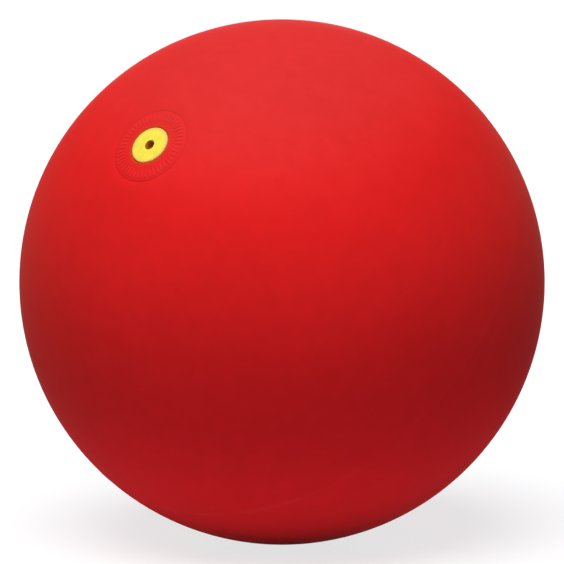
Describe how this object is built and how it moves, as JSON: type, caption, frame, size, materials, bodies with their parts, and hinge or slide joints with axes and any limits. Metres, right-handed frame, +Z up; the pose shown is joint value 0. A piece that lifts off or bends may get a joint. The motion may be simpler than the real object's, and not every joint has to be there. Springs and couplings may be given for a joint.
{
  "type": "bell ball",
  "caption": "Red rubber ball with a flat yellow valve plug in a moulded ring; jingle bells loose inside sound as it rolls, so players follow it by ear.",
  "frame": {"origin": "centre of the ball", "axes": "+Z up, away from the floor that the ball stands on; -Y is the side the valve faces, and the valve's axis runs from the centre towards -Y, 37 degrees above the level; +X completes the set"},
  "size_m": [0.2103, 0.21, 0.2099],
  "materials": {
    "ball_rubber": "satin",
    "seat_rubber": "matte",
    "plug_rubber": "satin",
    "bell_brass": "polished",
    "bell_steel": "satin"
  },
  "bodies": {
    "ball": {"ball_shell": "ball_rubber", "valve_seat": "seat_rubber"},
    "plug": {"valve_plug": "plug_rubber"},
    "bell_1": {"bell_1_upper_cup": "bell_brass", "bell_1_lower_cup": "bell_brass", "bell_1_loop": "bell_steel"},
    "bell_1_pellet": {"bell_1_pellet": "bell_steel"},
    "bell_2": {"bell_2_upper_cup": "bell_brass", "bell_2_lower_cup": "bell_brass", "bell_2_loop": "bell_steel"},
    "bell_2_pellet": {"bell_2_pellet": "bell_steel"},
    "bell_3": {"bell_3_upper_cup": "bell_brass", "bell_3_lower_cup": "bell_brass", "bell_3_loop": "bell_steel"},
    "bell_3_pellet": {"bell_3_pellet": "bell_steel"},
    "bell_4": {"bell_4_upper_cup": "bell_brass", "bell_4_lower_cup": "bell_brass", "bell_4_loop": "bell_steel"},
    "bell_4_pellet": {"bell_4_pellet": "bell_steel"}
  },
  "joints": [
    {"name": "valve_plug_pull", "type": "slide", "parent": "ball", "child": "plug", "axis": [0, -0.7986, 0.6018], "range_m": [0, 0.03]},
    {"name": "bell_1_roll", "type": "hinge", "parent": "ball", "child": "bell_1", "pos_m": [0, 0, 0], "axis": [0, 1, 0], "continuous": true},
    {"name": "bell_1_pellet_rattle", "type": "hinge", "parent": "bell_1", "child": "bell_1_pellet", "pos_m": [0, -0.0495, -0.07461], "axis": [0.4226, -0.7552, 0.5011], "continuous": true},
    {"name": "bell_2_roll", "type": "hinge", "parent": "ball", "child": "bell_2", "pos_m": [0, 0, 0], "axis": [0, 1, 0], "continuous": true},
    {"name": "bell_2_pellet_rattle", "type": "hinge", "parent": "bell_2", "child": "bell_2_pellet", "pos_m": [0, -0.0165, -0.088], "axis": [0.9397, 0.3362, -0.063], "continuous": true},
    {"name": "bell_3_roll", "type": "hinge", "parent": "ball", "child": "bell_3", "pos_m": [0, 0, 0], "axis": [0, 1, 0], "continuous": true},
    {"name": "bell_3_pellet_rattle", "type": "hinge", "parent": "bell_3", "child": "bell_3_pellet", "pos_m": [0, 0.0165, -0.088], "axis": [-0.866, -0.4914, -0.0921], "continuous": true},
    {"name": "bell_4_roll", "type": "hinge", "parent": "ball", "child": "bell_4", "pos_m": [0, 0, 0], "axis": [0, 1, 0], "continuous": true},
    {"name": "bell_4_pellet_rattle", "type": "hinge", "parent": "bell_4", "child": "bell_4_pellet", "pos_m": [0, 0.0495, -0.07461], "axis": [0.2588, 0.8049, 0.534], "continuous": true}
  ]
}
